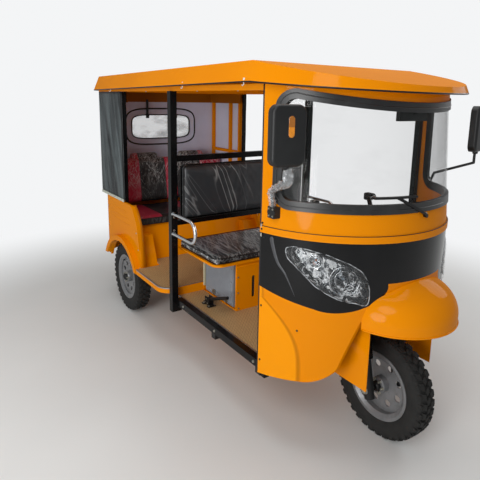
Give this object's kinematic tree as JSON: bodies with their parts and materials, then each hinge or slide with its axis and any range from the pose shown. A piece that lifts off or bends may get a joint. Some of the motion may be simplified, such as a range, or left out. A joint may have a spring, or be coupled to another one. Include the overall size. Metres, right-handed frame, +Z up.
{
  "type": "passenger auto rickshaw",
  "caption": "Three-wheeled passenger vehicle with a hard roof, open sides, a rounded front shell, a driver's seat and a rear bench.",
  "frame": {"origin": "on the ground, at the middle of the overall length and width", "axes": "+X forward, +Y to the vehicle's left, +Z up"},
  "size_m": [2.9201, 1.457, 1.8289],
  "materials": {
    "body_paint": "gloss amber yellow enamel",
    "black_paint": "gloss black enamel on steel tube",
    "band_gloss": "high gloss black",
    "chassis_black": "satin black",
    "floor_mat": "tan chequered rubber sheet",
    "tyre": "matt black rubber",
    "wheel_paint": "silver grey enamel",
    "axle_metal": "black painted castings",
    "spring_steel": "black",
    "chrome": "polished",
    "seat_vinyl": "black vinyl under clear film",
    "bench_vinyl": "crimson and black vinyl",
    "curtain_cloth": "charcoal coated cloth with a pale lining",
    "clear_sheet": "clear flexible sheet",
    "glass": "clear safety glass",
    "seal_rubber": "black rubber",
    "lamp_lens": "clear moulded lens",
    "lamp_body": "bright reflector",
    "black_plastic": "grained black",
    "grey_plastic": "ribbed grey",
    "tail_lens": "red and amber lens"
  },
  "bodies": {
    "body": {"chassis_frame": "chassis_black", "leaf_springs": "spring_steel", "rear_axle": "axle_metal", "front_floor": "body_paint", "rear_floor": "body_paint", "floor_mats": "floor_mat", "side_panels": "body_paint", "back_panel": "body_paint", "bench_box": "body_paint", "bench_cushion": "bench_vinyl", "bench_backrest": "bench_vinyl", "side_frames": "body_paint", "side_curtains": "curtain_cloth", "rear_curtain": "curtain_cloth", "rear_window": "clear_sheet", "cabin_posts": "black_paint", "sills": "black_paint", "roof": "body_paint", "roof_frame": "black_paint", "front_apron": "body_paint", "lamp_band": "band_gloss", "headlamp_lenses": "lamp_lens", "headlamp_housings": "lamp_body", "front_cowl": "body_paint", "windshield_seal": "seal_rubber", "windshield": "glass", "nose_mudguard": "body_paint", "front_wheel_bay": "body_paint", "steering_head": "chassis_black", "seat_box": "body_paint", "driver_cushion": "seat_vinyl", "driver_backrest": "seat_vinyl", "backrest_frame": "black_paint", "battery_case": "grey_plastic", "parking_lever": "black_paint", "brake_pedal": "black_paint", "grab_rails": "chrome", "mirrors": "black_plastic", "dashboard": "black_plastic", "interior_mirror": "black_plastic", "wiper": "black_plastic", "tail_lamps": "tail_lens", "rear_bumper": "black_paint"},
    "steering": {"front_fork": "axle_metal", "fork_springs": "seal_rubber", "handlebar": "chrome", "handlebar_grips": "seal_rubber"},
    "front_wheel": {"front_tyre": "tyre", "front_rim": "wheel_paint"},
    "rear_wheel_right": {"rear_tyre_right": "tyre", "rear_rim_right": "wheel_paint"},
    "rear_wheel_left": {"rear_tyre_left": "tyre", "rear_rim_left": "wheel_paint"}
  },
  "joints": [
    {"name": "steering_turn", "type": "hinge", "parent": "body", "child": "steering", "pos_m": [1.11, 0, 0.267], "axis": [-0.2079, 0, 0.9781], "range_deg": [-35, 35]},
    {"name": "front_wheel_spin", "type": "hinge", "parent": "steering", "child": "front_wheel", "pos_m": [1.15, 0, 0.267], "axis": [0, 1, 0], "continuous": true},
    {"name": "rear_wheel_right_spin", "type": "hinge", "parent": "body", "child": "rear_wheel_right", "pos_m": [-0.93, -0.506, 0.267], "axis": [0, 1, 0], "continuous": true},
    {"name": "rear_wheel_left_spin", "type": "hinge", "parent": "body", "child": "rear_wheel_left", "pos_m": [-0.93, 0.506, 0.267], "axis": [0, 1, 0], "continuous": true}
  ]
}
